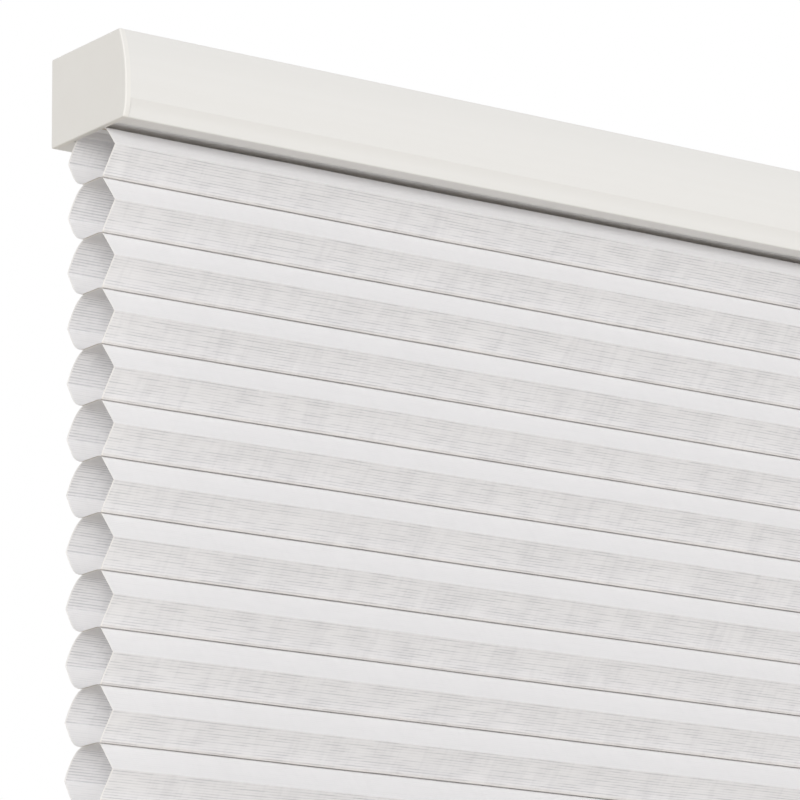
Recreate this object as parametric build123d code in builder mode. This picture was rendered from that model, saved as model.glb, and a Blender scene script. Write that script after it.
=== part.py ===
"""Cordless pleated blind of the cellular kind: a headrail, one honeycomb of folded fabric and a bottom rail.

Millimetres. +X runs along the blind, -Y is the room side and +Z is up. The origin is the centre of the four
fixing screws, on the plane that the two mounting brackets are screwed against, and everything hangs below it.
"""

import os
from math import sqrt

from build123d import *

# Overall sizes
BLIND_WIDTH = 610.0
CELL_COUNT = 45
CELL_PITCH = 19.0
CUT_OVERRUN = 1.0

# Honeycomb fabric, measured on the middle of the cloth
CLOTH_THICKNESS = 0.4
CELL_DEPTH = 28.5
GLUE_WIDTH = 15.5
CREASE_LIFT = 0.7
WINDOW_BULGE = 1.5
CORD_HOLE_DIAMETER = 3.2
CORD_HOLE_SIDES = 8
FABRIC_END_GAP = 0.2

# End loops of the fabric and the strips that hold them in the rails
LOOP_SIDE_GAP = 2.1
STRIP_THICKNESS = 1.2
STRIP_CLEARANCE = 0.1
STRIP_SIDE_GAP = 0.4
LOOP_CLEARANCE = 0.4

# Headrail extrusion
RAIL_WALL = 1.3
RAIL_FLANGE = 1.9
FRONT_CROWN = 4.1
FRONT_TUCK = 1.6
FRONT_BAND_HEIGHT = 6.5
FRONT_BAND_HOLLOW = 0.35
FRONT_CURVE_START = 12.0
RAIL_EDGE_RADIUS = 0.6
FABRIC_SLOT_FRONT = 16.0
FABRIC_SLOT_BACK = 11.0
LEDGE_THICKNESS = 1.1
LEDGE_GAP = 35.0
BRACKET_SLOT_WIDTH = 28.0
BRACKET_SLOT_DEPTH = 3.2
DECK_THICKNESS = 1.0

# Caps on the ends of both rails
CAP_THICKNESS = 2.0
CAP_EDGE_RADIUS = 0.5
CAP_BELLY = 0.3
PLUG_LENGTH = 8.0
PLUG_WALL = 1.5
PLUG_CLEARANCE = 0.2

# Mounting brackets, folded from spring steel
BRACKET_THICKNESS = 1.2
BRACKET_LENGTH = 30.0
BRACKET_INSET = 65.0
BRACKET_LEG_GAP = 0.6
BRACKET_BEND_RADIUS = 0.9
BRACKET_HOOK_REACH = 3.4
REAR_HOOK_LENGTH = 16.0
CEILING_GAP = 1.0
SCREW_HOLE_DIAMETER = 4.5
SCREW_SPACING = 14.0

# Lift cords, their spools and the cradles that the spools turn in
CORD_DIAMETER = 1.2
CORD_INSET = 130.0
CORD_SPOOL_GAP = 0.05
SPOOL_RADIUS = 7.0
SPOOL_RIM = 1.5
SPOOL_FLANGE = 1.2
SPOOL_WINDING = 21.0
JOURNAL_RADIUS = 4.0
JOURNAL_CLEARANCE = 0.05
END_PLAY = 0.4
CRADLE_BASE = 1.5
CRADLE_WALL = 2.0
CRADLE_CHEEK = 2.6
CRADLE_MOUTH = 6.8
SEAT_CLEARANCE = 0.3

# Lift shaft with its retaining collars
SHAFT_FLATS = 6.0
SHAFT_SIDES = 6
SHAFT_CLEARANCE = 0.08
SHAFT_OVERHANG = 9.0
COLLAR_RADIUS = 5.0
COLLAR_LENGTH = 3.0

# Spring motor
SPRING_WIDTH = 12.0
SPRING_SIDE_GAP = 0.3
SPRING_STRIP = 0.35
SPRING_SEAT_GAP = 0.05
OUTPUT_CORE_RADIUS = 6.0
OUTPUT_ROLL_RADIUS = 8.0
STORAGE_CORE_RADIUS = 5.2
STORAGE_ROLL_RADIUS = 5.7
STORAGE_FLANGE_RADIUS = 8.0
STORAGE_AXLE_RADIUS = 2.5
DRUM_RIM = 0.5
DRUM_FLANGE = 1.0
DRUM_GAP = 1.0
MOTOR_BASE = 1.2
MOTOR_WALL = 1.5
MOTOR_COVER = 0.9
MOTOR_SKIRT_SHARE = 0.5
MOTOR_FRONT_GAP = 1.05
MOTOR_BACK_GAP = 3.25

# Bottom rail extrusion
FOOT_SIDE_GAP = 1.3
FOOT_HEIGHT = 16.0
FOOT_WALL = 1.2
FOOT_LIP = 1.4
FOOT_SLOT_WIDTH = 27.0
FOOT_WEB = 1.2
FOOT_CORNER_RADIUS = 4.0
FOOT_EDGE_RADIUS = 0.5

# Cord anchors under the bottom rail's web
ANCHOR_RADIUS = 5.0
ANCHOR_HEIGHT = 3.0
ANCHOR_NECK_RADIUS = 2.0
ANCHOR_NECK_GAP = 0.1
ANCHOR_BORE_GAP = 0.15

# Places across the headrail: the cord leaves its spool straight above the middle of the cells
WINDING_RADIUS = SPOOL_RADIUS + CORD_SPOOL_GAP + CORD_DIAMETER / 2
SPOOL_FLANGE_RADIUS = SPOOL_RADIUS + SPOOL_RIM
OUTPUT_FLANGE_RADIUS = OUTPUT_ROLL_RADIUS + DRUM_RIM
SHAFT_Y = WINDING_RADIUS
STORAGE_Y = SHAFT_Y - OUTPUT_FLANGE_RADIUS - STORAGE_FLANGE_RADIUS - DRUM_GAP
MOTOR_FRONT = STORAGE_Y - STORAGE_FLANGE_RADIUS
MOTOR_BACK = SHAFT_Y + OUTPUT_FLANGE_RADIUS
BACK_INSIDE = MOTOR_BACK + SEAT_CLEARANCE + MOTOR_COVER + MOTOR_BACK_GAP
RAIL_BACK = BACK_INSIDE + RAIL_WALL
RAIL_FRONT_TOP = SEAT_CLEARANCE + MOTOR_COVER + MOTOR_FRONT_GAP - MOTOR_FRONT
RAIL_FRONT_BULGE = RAIL_FRONT_TOP + FRONT_CROWN
RAIL_FRONT_FOOT = RAIL_FRONT_BULGE - FRONT_TUCK
LOOP_WIDTH = 2 * (BACK_INSIDE - LOOP_SIDE_GAP)

# Places up the headrail, from the stack of what it holds
LOOP_HEIGHT = STRIP_THICKNESS + 2 * STRIP_CLEARANCE + 2 * CLOTH_THICKNESS
ROTOR_RADIUS = max(SPOOL_FLANGE_RADIUS, OUTPUT_FLANGE_RADIUS, STORAGE_FLANGE_RADIUS)
FABRIC_ROOM = RAIL_FLANGE + LOOP_HEIGHT + LOOP_CLEARANCE + LEDGE_THICKNESS
ROTOR_ROOM = CRADLE_BASE + 2 * ROTOR_RADIUS + MOTOR_COVER + 3 * SEAT_CLEARANCE
BRACKET_ROOM = DECK_THICKNESS + BRACKET_SLOT_DEPTH + RAIL_WALL
RAIL_HEIGHT = FABRIC_ROOM + ROTOR_ROOM + BRACKET_ROOM
RAIL_TOP = -CEILING_GAP
RAIL_BOTTOM = RAIL_TOP - RAIL_HEIGHT
LIP_UNDERSIDE = RAIL_TOP - RAIL_WALL
DECK_TOP = LIP_UNDERSIDE - BRACKET_SLOT_DEPTH
DECK_UNDERSIDE = DECK_TOP - DECK_THICKNESS
FLANGE_TOP = RAIL_BOTTOM + RAIL_FLANGE
LEDGE_TOP = RAIL_BOTTOM + FABRIC_ROOM
LEDGE_UNDERSIDE = LEDGE_TOP - LEDGE_THICKNESS
SHAFT_Z = LEDGE_TOP + CRADLE_BASE + SEAT_CLEARANCE + ROTOR_RADIUS
MOTOR_TOP = SHAFT_Z + ROTOR_RADIUS + SEAT_CLEARANCE

# Places along the headrail
RAIL_LENGTH = BLIND_WIDTH - 2 * CAP_THICKNESS
FABRIC_WIDTH = RAIL_LENGTH - 2 * FABRIC_END_GAP
BRACKET_SPACING = BLIND_WIDTH - 2 * BRACKET_INSET
CORD_SPACING = BLIND_WIDTH - 2 * CORD_INSET
SPOOL_HALF = SPOOL_WINDING / 2 + SPOOL_FLANGE
CRADLE_INSIDE = SPOOL_HALF + END_PLAY
CRADLE_HALF = CRADLE_INSIDE + CRADLE_WALL
DRUM_HALF = SPRING_WIDTH / 2 + SPRING_SIDE_GAP + DRUM_FLANGE
MOTOR_INSIDE = DRUM_HALF + END_PLAY
MOTOR_HALF = MOTOR_INSIDE + MOTOR_WALL
SHAFT_LENGTH = CORD_SPACING + 2 * CRADLE_HALF + 2 * SHAFT_OVERHANG

# Places of the honeycomb
TOP_GLUE = FLANGE_TOP
BOTTOM_GLUE = TOP_GLUE - CELL_COUNT * CELL_PITCH
STRIP_WIDTH = LOOP_WIDTH - LOOP_HEIGHT - 2 * STRIP_SIDE_GAP

# Places of the bottom rail, whose lips hang on the fabric's lowest loop
FOOT_DEPTH = LOOP_WIDTH + 2 * (FOOT_SIDE_GAP + FOOT_WALL)
FOOT_TOP = BOTTOM_GLUE + FOOT_LIP
FOOT_BOTTOM = FOOT_TOP - FOOT_HEIGHT
FOOT_CHANNEL_FLOOR = BOTTOM_GLUE - LOOP_HEIGHT - LOOP_CLEARANCE
WEB_UNDERSIDE = FOOT_CHANNEL_FLOOR - FOOT_WEB

SIDES = {"left": -1, "right": 1}


def finish(builder, label):
    """Names a finished piece and writes it to its own file."""
    builder.part.label = label
    export_step(builder.part, f"parts/{label}.step")


os.makedirs("parts", exist_ok=True)


def headrail_outline(band_rise):
    """The headrail's outline, with the band along its lower front raised or hollowed by an arc."""
    with BuildSketch(Plane.YZ) as outline:
        with BuildLine():
            band = SagittaArc(
                (-RAIL_FRONT_FOOT, RAIL_BOTTOM),
                (-RAIL_FRONT_BULGE, RAIL_BOTTOM + FRONT_BAND_HEIGHT),
                band_rise,
            )
            face = Line(band @ 1, (-RAIL_FRONT_BULGE, RAIL_BOTTOM + FRONT_CURVE_START))
            crown = TangentArc(face @ 1, (-RAIL_FRONT_TOP, RAIL_TOP), tangent=face % 1)
            Polyline(crown @ 1, (RAIL_BACK, RAIL_TOP), (RAIL_BACK, RAIL_BOTTOM), band @ 0)
        make_face()
        fillet(outline.vertices().group_by(Axis.Y)[0], radius=RAIL_EDGE_RADIUS)
        fillet(outline.vertices().group_by(Axis.Y)[-1], radius=RAIL_EDGE_RADIUS)
    return outline.sketch_local


# Headrail: the band along its lower front is hollow, and the end caps fill it out
rail_outline = headrail_outline(-FRONT_BAND_HOLLOW)
cap_outline = headrail_outline(CAP_BELLY)

with BuildSketch(Plane.YZ) as rail_section:
    add(rail_outline)
    offset(amount=-RAIL_WALL, kind=Kind.ARC, mode=Mode.SUBTRACT)
    rail_span = 2 * RAIL_FRONT_BULGE
    with Locations((0, RAIL_BOTTOM)):
        Rectangle(rail_span, RAIL_FLANGE, align=(Align.CENTER, Align.MIN))
    with Locations((0, LEDGE_UNDERSIDE)):
        Rectangle(rail_span, LEDGE_THICKNESS, align=(Align.CENTER, Align.MIN))
    with Locations((0, DECK_UNDERSIDE)):
        Rectangle(rail_span, DECK_THICKNESS, align=(Align.CENTER, Align.MIN))
    with Locations((-FABRIC_SLOT_FRONT, RAIL_BOTTOM - CUT_OVERRUN)):
        Rectangle(
            FABRIC_SLOT_FRONT + FABRIC_SLOT_BACK,
            RAIL_FLANGE + 2 * CUT_OVERRUN,
            align=Align.MIN,
            mode=Mode.SUBTRACT,
        )
    with Locations((0, LEDGE_UNDERSIDE - CUT_OVERRUN)):
        Rectangle(
            LEDGE_GAP,
            LEDGE_THICKNESS + 2 * CUT_OVERRUN,
            align=(Align.CENTER, Align.MIN),
            mode=Mode.SUBTRACT,
        )
    with Locations((0, RAIL_TOP + CUT_OVERRUN)):
        Rectangle(
            BRACKET_SLOT_WIDTH,
            RAIL_WALL + 2 * CUT_OVERRUN,
            align=(Align.CENTER, Align.MAX),
            mode=Mode.SUBTRACT,
        )
    add(rail_outline, mode=Mode.INTERSECT)

with BuildPart() as headrail:
    with BuildSketch(Plane.YZ.offset(-RAIL_LENGTH / 2)):
        add(rail_section.sketch_local)
    extrude(amount=RAIL_LENGTH)
finish(headrail, "headrail")

# End caps of the headrail: a rounded plate with a plug that fills the mechanism's room
plug_floor = LEDGE_TOP + PLUG_CLEARANCE
plug_height = DECK_UNDERSIDE - PLUG_CLEARANCE - plug_floor
plug_back = BACK_INSIDE - PLUG_CLEARANCE
plug_front = -RAIL_FRONT_TOP + RAIL_WALL + PLUG_CLEARANCE
for side, turn in SIDES.items():
    with BuildPart() as end_cap:
        with BuildSketch(Plane.YZ.offset(turn * RAIL_LENGTH / 2)):
            add(cap_outline)
        extrude(amount=turn * CAP_THICKNESS)
        outer_face = end_cap.faces().sort_by(Axis.X)[-1 if turn > 0 else 0]
        fillet(outer_face.edges(), radius=CAP_EDGE_RADIUS)
        with BuildSketch(Plane.YZ.offset(turn * RAIL_LENGTH / 2)):
            with Locations((plug_front, plug_floor)):
                Rectangle(plug_back - plug_front, plug_height, align=Align.MIN)
            offset(amount=-PLUG_WALL, kind=Kind.INTERSECTION, mode=Mode.SUBTRACT)
        extrude(amount=-turn * PLUG_LENGTH)
    finish(end_cap, f"{side}_end_cap")

# Mounting brackets: a folded hat section whose hooks carry the lips of the headrail
hook_z = LIP_UNDERSIDE - BRACKET_THICKNESS / 2
leg_y = BRACKET_SLOT_WIDTH / 2 - BRACKET_LEG_GAP - BRACKET_THICKNESS / 2
hook_y = BRACKET_SLOT_WIDTH / 2 + BRACKET_HOOK_REACH
plate_z = -BRACKET_THICKNESS / 2
for side, turn in SIDES.items():
    bracket_x = turn * BRACKET_SPACING / 2
    with BuildPart() as bracket:
        with BuildSketch(Plane.YZ.offset(bracket_x)):
            with BuildLine():
                FilletPolyline(
                    (-hook_y, hook_z),
                    (-leg_y, hook_z),
                    (-leg_y, plate_z),
                    (leg_y, plate_z),
                    (leg_y, hook_z),
                    (hook_y, hook_z),
                    radius=BRACKET_BEND_RADIUS,
                )
            trace(line_width=BRACKET_THICKNESS)
        extrude(amount=BRACKET_LENGTH / 2, both=True)
        rear_trim = (BRACKET_LENGTH - REAR_HOOK_LENGTH) / 2
        for end in SIDES.values():
            with Locations((bracket_x + end * (REAR_HOOK_LENGTH + rear_trim) / 2, hook_y, hook_z)):
                Box(
                    rear_trim,
                    2 * (hook_y - leg_y - BRACKET_THICKNESS),
                    BRACKET_THICKNESS + 2 * CUT_OVERRUN,
                    mode=Mode.SUBTRACT,
                )
        with Locations((bracket_x, -SCREW_SPACING / 2), (bracket_x, SCREW_SPACING / 2)):
            Hole(radius=SCREW_HOLE_DIAMETER / 2, depth=BRACKET_THICKNESS + CUT_OVERRUN)
    finish(bracket, f"{side}_mounting_bracket")

# Honeycomb fabric: one cell's section, repeated down the blind, with a flattened loop at each end. Its upper
# wall on the window side bows out.
# The cord holes through its glue lines are cut by an eight-sided punch.
half_pitch = CELL_PITCH / 2
cell_half_height = half_pitch - CLOTH_THICKNESS / 2
with BuildSketch(Plane.YZ) as cell_ring:
    with BuildLine():
        folds = Polyline(
            (GLUE_WIDTH / 2, cell_half_height),
            (-GLUE_WIDTH / 2, cell_half_height),
            (-CELL_DEPTH / 2, CREASE_LIFT),
            (-GLUE_WIDTH / 2, -cell_half_height),
            (GLUE_WIDTH / 2, -cell_half_height),
            (CELL_DEPTH / 2, CREASE_LIFT),
        )
        SagittaArc(folds @ 1, folds @ 0, -WINDOW_BULGE)
    make_face()
    offset(amount=CLOTH_THICKNESS / 2, kind=Kind.INTERSECTION)
    offset(amount=-CLOTH_THICKNESS, kind=Kind.INTERSECTION, mode=Mode.SUBTRACT)

cell_centres = [(0, TOP_GLUE - half_pitch - count * CELL_PITCH) for count in range(CELL_COUNT)]
loop_centres = [(0, TOP_GLUE + LOOP_HEIGHT / 2), (0, BOTTOM_GLUE - LOOP_HEIGHT / 2)]
with BuildSketch(Plane.YZ) as fabric_section:
    with Locations(*cell_centres):
        add(cell_ring.sketch_local)
    with Locations(*loop_centres):
        SlotOverall(LOOP_WIDTH, LOOP_HEIGHT)
    with Locations(*loop_centres):
        SlotOverall(
            LOOP_WIDTH - 2 * CLOTH_THICKNESS,
            LOOP_HEIGHT - 2 * CLOTH_THICKNESS,
            mode=Mode.SUBTRACT,
        )

cord_places = [(turn * CORD_SPACING / 2, 0) for turn in SIDES.values()]
with BuildPart() as cell_fabric:
    with BuildSketch(Plane.YZ.offset(-FABRIC_WIDTH / 2)):
        add(fabric_section.sketch_local)
    extrude(amount=FABRIC_WIDTH)
    with BuildSketch(Plane.XY.offset(BOTTOM_GLUE - LOOP_HEIGHT - CUT_OVERRUN)):
        with Locations(*cord_places):
            RegularPolygon(CORD_HOLE_DIAMETER / 2, CORD_HOLE_SIDES)
    extrude(
        amount=TOP_GLUE - BOTTOM_GLUE + 2 * (LOOP_HEIGHT + CUT_OVERRUN),
        mode=Mode.SUBTRACT,
    )
finish(cell_fabric, "cell_fabric")

# Strips inside the two end loops, punched for the cords
for label, (_, strip_z) in zip(("top_fabric_strip", "bottom_fabric_strip"), loop_centres):
    with BuildPart() as strip:
        with BuildSketch(Plane.XY.offset(strip_z - STRIP_THICKNESS / 2)):
            Rectangle(FABRIC_WIDTH, STRIP_WIDTH)
            with Locations(*cord_places):
                Circle(CORD_HOLE_DIAMETER / 2, mode=Mode.SUBTRACT)
        extrude(amount=STRIP_THICKNESS)
    finish(strip, label)

# Spool cradles: a base on the headrail's ledges and two cheeks with open-topped bearings
cradle_front = -RAIL_FRONT_FOOT + RAIL_WALL + SEAT_CLEARANCE
cradle_back = BACK_INSIDE - SEAT_CLEARANCE
cheek_radius = JOURNAL_RADIUS + CRADLE_CHEEK
for side, turn in SIDES.items():
    cord_x = turn * CORD_SPACING / 2
    with BuildPart() as cradle:
        with BuildSketch(Plane.XY.offset(LEDGE_TOP)):
            with Locations((cord_x, (cradle_front + cradle_back) / 2)):
                Rectangle(2 * CRADLE_HALF, cradle_back - cradle_front)
            with Locations((cord_x, 0)):
                Circle(CORD_HOLE_DIAMETER / 2, mode=Mode.SUBTRACT)
        extrude(amount=CRADLE_BASE)
        for end in SIDES.values():
            with BuildSketch(Plane.YZ.offset(cord_x + end * CRADLE_INSIDE)):
                with Locations((SHAFT_Y, SHAFT_Z)):
                    Circle(cheek_radius)
                    Rectangle(
                        2 * cheek_radius,
                        SHAFT_Z - LEDGE_TOP,
                        align=(Align.CENTER, Align.MAX),
                    )
                    Circle(JOURNAL_RADIUS + JOURNAL_CLEARANCE, mode=Mode.SUBTRACT)
                    Rectangle(
                        CRADLE_MOUTH,
                        2 * cheek_radius,
                        align=(Align.CENTER, Align.MIN),
                        mode=Mode.SUBTRACT,
                    )
            extrude(amount=end * CRADLE_WALL)
    finish(cradle, f"{side}_spool_cradle")

# Cord spools, turned round the lift shaft and driven by its flats
bore_flats = SHAFT_FLATS / 2 + SHAFT_CLEARANCE
for side, turn in SIDES.items():
    with BuildPart() as spool:
        with BuildSketch(Plane.YZ.offset(turn * CORD_SPACING / 2)):
            with Locations((SHAFT_Y, SHAFT_Z)):
                Circle(SPOOL_RADIUS)
        extrude(amount=SPOOL_WINDING / 2, both=True)
        for end in SIDES.values():
            with BuildSketch(Plane.YZ.offset(turn * CORD_SPACING / 2 + end * SPOOL_WINDING / 2)):
                with Locations((SHAFT_Y, SHAFT_Z)):
                    Circle(SPOOL_FLANGE_RADIUS)
            extrude(amount=end * SPOOL_FLANGE)
            with BuildSketch(Plane.YZ.offset(turn * CORD_SPACING / 2 + end * SPOOL_HALF)):
                with Locations((SHAFT_Y, SHAFT_Z)):
                    Circle(JOURNAL_RADIUS)
            extrude(amount=end * (END_PLAY + CRADLE_WALL))
        with BuildSketch(Plane.YZ.offset(turn * CORD_SPACING / 2)):
            with Locations((SHAFT_Y, SHAFT_Z)):
                RegularPolygon(bore_flats, SHAFT_SIDES, major_radius=False)
        extrude(amount=CRADLE_HALF + CUT_OVERRUN, both=True, mode=Mode.SUBTRACT)
    finish(spool, f"{side}_cord_spool")

# Lift shaft: a hexagonal bar, with a collar outside each cradle
with BuildPart() as lift_shaft:
    with BuildSketch(Plane.YZ):
        with Locations((SHAFT_Y, SHAFT_Z)):
            RegularPolygon(SHAFT_FLATS / 2, SHAFT_SIDES, major_radius=False)
    extrude(amount=SHAFT_LENGTH / 2, both=True)
finish(lift_shaft, "lift_shaft")

for side, turn in SIDES.items():
    with BuildPart() as collar:
        with BuildSketch(Plane.YZ.offset(turn * (CORD_SPACING / 2 + CRADLE_HALF + END_PLAY))):
            with Locations((SHAFT_Y, SHAFT_Z)):
                Circle(COLLAR_RADIUS)
                RegularPolygon(bore_flats, SHAFT_SIDES, major_radius=False, mode=Mode.SUBTRACT)
        extrude(amount=turn * COLLAR_LENGTH)
    finish(collar, f"{side}_shaft_collar")

# Spring motor: both drums run between two end plates that stand on one base
with BuildPart() as motor_case:
    with BuildSketch(Plane.XY.offset(LEDGE_TOP)):
        with Locations((0, (cradle_front + cradle_back) / 2)):
            Rectangle(2 * MOTOR_HALF, cradle_back - cradle_front)
    extrude(amount=MOTOR_BASE)
    for end in SIDES.values():
        with BuildSketch(Plane.YZ.offset(end * MOTOR_INSIDE)):
            with Locations((MOTOR_FRONT, LEDGE_TOP)):
                Rectangle(MOTOR_BACK - MOTOR_FRONT, MOTOR_TOP - LEDGE_TOP, align=Align.MIN)
            with Locations((SHAFT_Y, SHAFT_Z)):
                Circle(JOURNAL_RADIUS + JOURNAL_CLEARANCE, mode=Mode.SUBTRACT)
            with Locations((STORAGE_Y, SHAFT_Z)):
                Circle(STORAGE_AXLE_RADIUS + JOURNAL_CLEARANCE, mode=Mode.SUBTRACT)
        extrude(amount=end * MOTOR_WALL)
finish(motor_case, "spring_motor_case")

with BuildPart() as motor_cover:
    skirt = MOTOR_SKIRT_SHARE * (MOTOR_TOP - LEDGE_TOP)
    with BuildSketch(Plane.YZ):
        with Locations((MOTOR_FRONT - SEAT_CLEARANCE - MOTOR_COVER, MOTOR_TOP - skirt)):
            Rectangle(
                MOTOR_BACK - MOTOR_FRONT + 2 * (SEAT_CLEARANCE + MOTOR_COVER),
                skirt + MOTOR_COVER,
                align=Align.MIN,
            )
        with Locations((MOTOR_FRONT - SEAT_CLEARANCE, MOTOR_TOP - skirt - CUT_OVERRUN)):
            Rectangle(
                MOTOR_BACK - MOTOR_FRONT + 2 * SEAT_CLEARANCE,
                skirt + CUT_OVERRUN,
                align=Align.MIN,
                mode=Mode.SUBTRACT,
            )
    extrude(amount=MOTOR_HALF, both=True)
finish(motor_cover, "spring_motor_cover")


def drum(axis_y, core, flange, journal):
    """A spring drum about an axis along X, with a flange and a journal at each end."""
    with BuildPart() as made:
        with BuildSketch(Plane.YZ):
            with Locations((axis_y, SHAFT_Z)):
                Circle(core)
        extrude(amount=DRUM_HALF, both=True)
        for end in SIDES.values():
            with BuildSketch(Plane.YZ.offset(end * (DRUM_HALF - DRUM_FLANGE))):
                with Locations((axis_y, SHAFT_Z)):
                    Circle(flange)
            extrude(amount=end * DRUM_FLANGE)
            with BuildSketch(Plane.YZ.offset(end * DRUM_HALF)):
                with Locations((axis_y, SHAFT_Z)):
                    Circle(journal)
            extrude(amount=end * (END_PLAY + MOTOR_WALL))
    return made.part


with BuildPart() as output_drum:
    add(drum(SHAFT_Y, OUTPUT_CORE_RADIUS, OUTPUT_FLANGE_RADIUS, JOURNAL_RADIUS))
    with BuildSketch(Plane.YZ):
        with Locations((SHAFT_Y, SHAFT_Z)):
            RegularPolygon(bore_flats, SHAFT_SIDES, major_radius=False)
    extrude(amount=MOTOR_HALF + CUT_OVERRUN, both=True, mode=Mode.SUBTRACT)
finish(output_drum, "output_drum")

with BuildPart() as storage_drum:
    add(drum(STORAGE_Y, STORAGE_CORE_RADIUS, STORAGE_FLANGE_RADIUS, STORAGE_AXLE_RADIUS))
finish(storage_drum, "storage_drum")

# Power spring: a roll on each drum, and the strip that crosses from one roll to the other
output_middle = OUTPUT_ROLL_RADIUS - SPRING_STRIP / 2
storage_middle = STORAGE_ROLL_RADIUS - SPRING_STRIP / 2
drum_distance = SHAFT_Y - STORAGE_Y
crossing_sine = (output_middle + storage_middle) / drum_distance
crossing_cosine = sqrt(1 - crossing_sine**2)
with BuildPart() as power_spring:
    with BuildSketch(Plane.YZ):
        with BuildLine():
            Line(
                (SHAFT_Y - output_middle * crossing_sine, SHAFT_Z - output_middle * crossing_cosine),
                (STORAGE_Y + storage_middle * crossing_sine, SHAFT_Z + storage_middle * crossing_cosine),
            )
        trace(line_width=SPRING_STRIP)
        with Locations((SHAFT_Y, SHAFT_Z)):
            Circle(OUTPUT_ROLL_RADIUS)
            Circle(OUTPUT_CORE_RADIUS + SPRING_SEAT_GAP, mode=Mode.SUBTRACT)
        with Locations((STORAGE_Y, SHAFT_Z)):
            Circle(STORAGE_ROLL_RADIUS)
            Circle(STORAGE_CORE_RADIUS + SPRING_SEAT_GAP, mode=Mode.SUBTRACT)
    extrude(amount=SPRING_WIDTH / 2, both=True)
finish(power_spring, "power_spring")

# Bottom rail: its channel takes the lowest loop of the fabric, and its web carries the cord anchors
with BuildSketch(Plane.YZ) as foot_outline:
    with Locations((0, FOOT_BOTTOM)):
        Rectangle(FOOT_DEPTH, FOOT_HEIGHT, align=(Align.CENTER, Align.MIN))
    fillet(foot_outline.vertices().group_by(Axis.Y)[0], radius=FOOT_CORNER_RADIUS)
    fillet(foot_outline.vertices().group_by(Axis.Y)[-1], radius=FOOT_EDGE_RADIUS)

with BuildSketch(Plane.YZ) as foot_section:
    add(foot_outline.sketch_local)
    offset(amount=-FOOT_WALL, kind=Kind.INTERSECTION, mode=Mode.SUBTRACT)
    with Locations((0, FOOT_TOP)):
        Rectangle(FOOT_DEPTH, FOOT_LIP, align=(Align.CENTER, Align.MAX))
    with Locations((0, FOOT_CHANNEL_FLOOR)):
        Rectangle(FOOT_DEPTH, FOOT_WEB, align=(Align.CENTER, Align.MAX))
    with Locations((0, FOOT_TOP + CUT_OVERRUN)):
        Rectangle(
            FOOT_SLOT_WIDTH,
            FOOT_LIP + 2 * CUT_OVERRUN,
            align=(Align.CENTER, Align.MAX),
            mode=Mode.SUBTRACT,
        )
    add(foot_outline.sketch_local, mode=Mode.INTERSECT)

with BuildPart() as bottom_rail:
    with BuildSketch(Plane.YZ.offset(-RAIL_LENGTH / 2)):
        add(foot_section.sketch_local)
    extrude(amount=RAIL_LENGTH)
    with BuildSketch(Plane.XY.offset(FOOT_CHANNEL_FLOOR)):
        with Locations(*cord_places):
            Circle(ANCHOR_NECK_RADIUS + ANCHOR_NECK_GAP)
    extrude(amount=-(FOOT_WEB + CUT_OVERRUN), mode=Mode.SUBTRACT)
finish(bottom_rail, "bottom_rail")

# Caps on the ends of the bottom rail
foot_plug_height = WEB_UNDERSIDE - FOOT_BOTTOM - FOOT_WALL - 2 * PLUG_CLEARANCE
foot_plug_depth = FOOT_DEPTH - 2 * (FOOT_CORNER_RADIUS + PLUG_CLEARANCE)
for side, turn in SIDES.items():
    with BuildPart() as rail_cap:
        with BuildSketch(Plane.YZ.offset(turn * RAIL_LENGTH / 2)):
            add(foot_outline.sketch_local)
        extrude(amount=turn * CAP_THICKNESS)
        outer_face = rail_cap.faces().sort_by(Axis.X)[-1 if turn > 0 else 0]
        fillet(outer_face.edges(), radius=CAP_EDGE_RADIUS)
        with BuildSketch(Plane.YZ.offset(turn * RAIL_LENGTH / 2)):
            with Locations((0, FOOT_BOTTOM + FOOT_WALL + PLUG_CLEARANCE)):
                Rectangle(foot_plug_depth, foot_plug_height, align=(Align.CENTER, Align.MIN))
            offset(amount=-PLUG_WALL, kind=Kind.INTERSECTION, mode=Mode.SUBTRACT)
        extrude(amount=-turn * PLUG_LENGTH)
    finish(rail_cap, f"{side}_bottom_cap")

# Cord anchors: a button under the web with a neck up through it
cord_bore = CORD_DIAMETER / 2 + ANCHOR_BORE_GAP
for side, turn in SIDES.items():
    cord_x = turn * CORD_SPACING / 2
    with BuildPart() as anchor:
        with BuildSketch(Plane.XY.offset(WEB_UNDERSIDE)):
            with Locations((cord_x, 0)):
                Circle(ANCHOR_RADIUS)
        extrude(amount=-ANCHOR_HEIGHT)
        with BuildSketch(Plane.XY.offset(WEB_UNDERSIDE)):
            with Locations((cord_x, 0)):
                Circle(ANCHOR_NECK_RADIUS)
        extrude(amount=FOOT_WEB)
        with BuildSketch(Plane.XY.offset(WEB_UNDERSIDE - ANCHOR_HEIGHT - CUT_OVERRUN)):
            with Locations((cord_x, 0)):
                Circle(cord_bore)
        extrude(amount=ANCHOR_HEIGHT + FOOT_WEB + 2 * CUT_OVERRUN, mode=Mode.SUBTRACT)
    finish(anchor, f"{side}_cord_anchor")

# Lift cords, straight down from their spools through every cell to the anchors
cord_bottom = WEB_UNDERSIDE - ANCHOR_HEIGHT
for side, turn in SIDES.items():
    with BuildPart() as lift_cord:
        with BuildSketch(Plane.XY.offset(cord_bottom)):
            with Locations((turn * CORD_SPACING / 2, 0)):
                Circle(CORD_DIAMETER / 2)
        extrude(amount=SHAFT_Z - cord_bottom)
    finish(lift_cord, f"{side}_lift_cord")
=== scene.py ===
import math

import bpy
import numpy as np
from mathutils import Matrix, Vector


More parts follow.
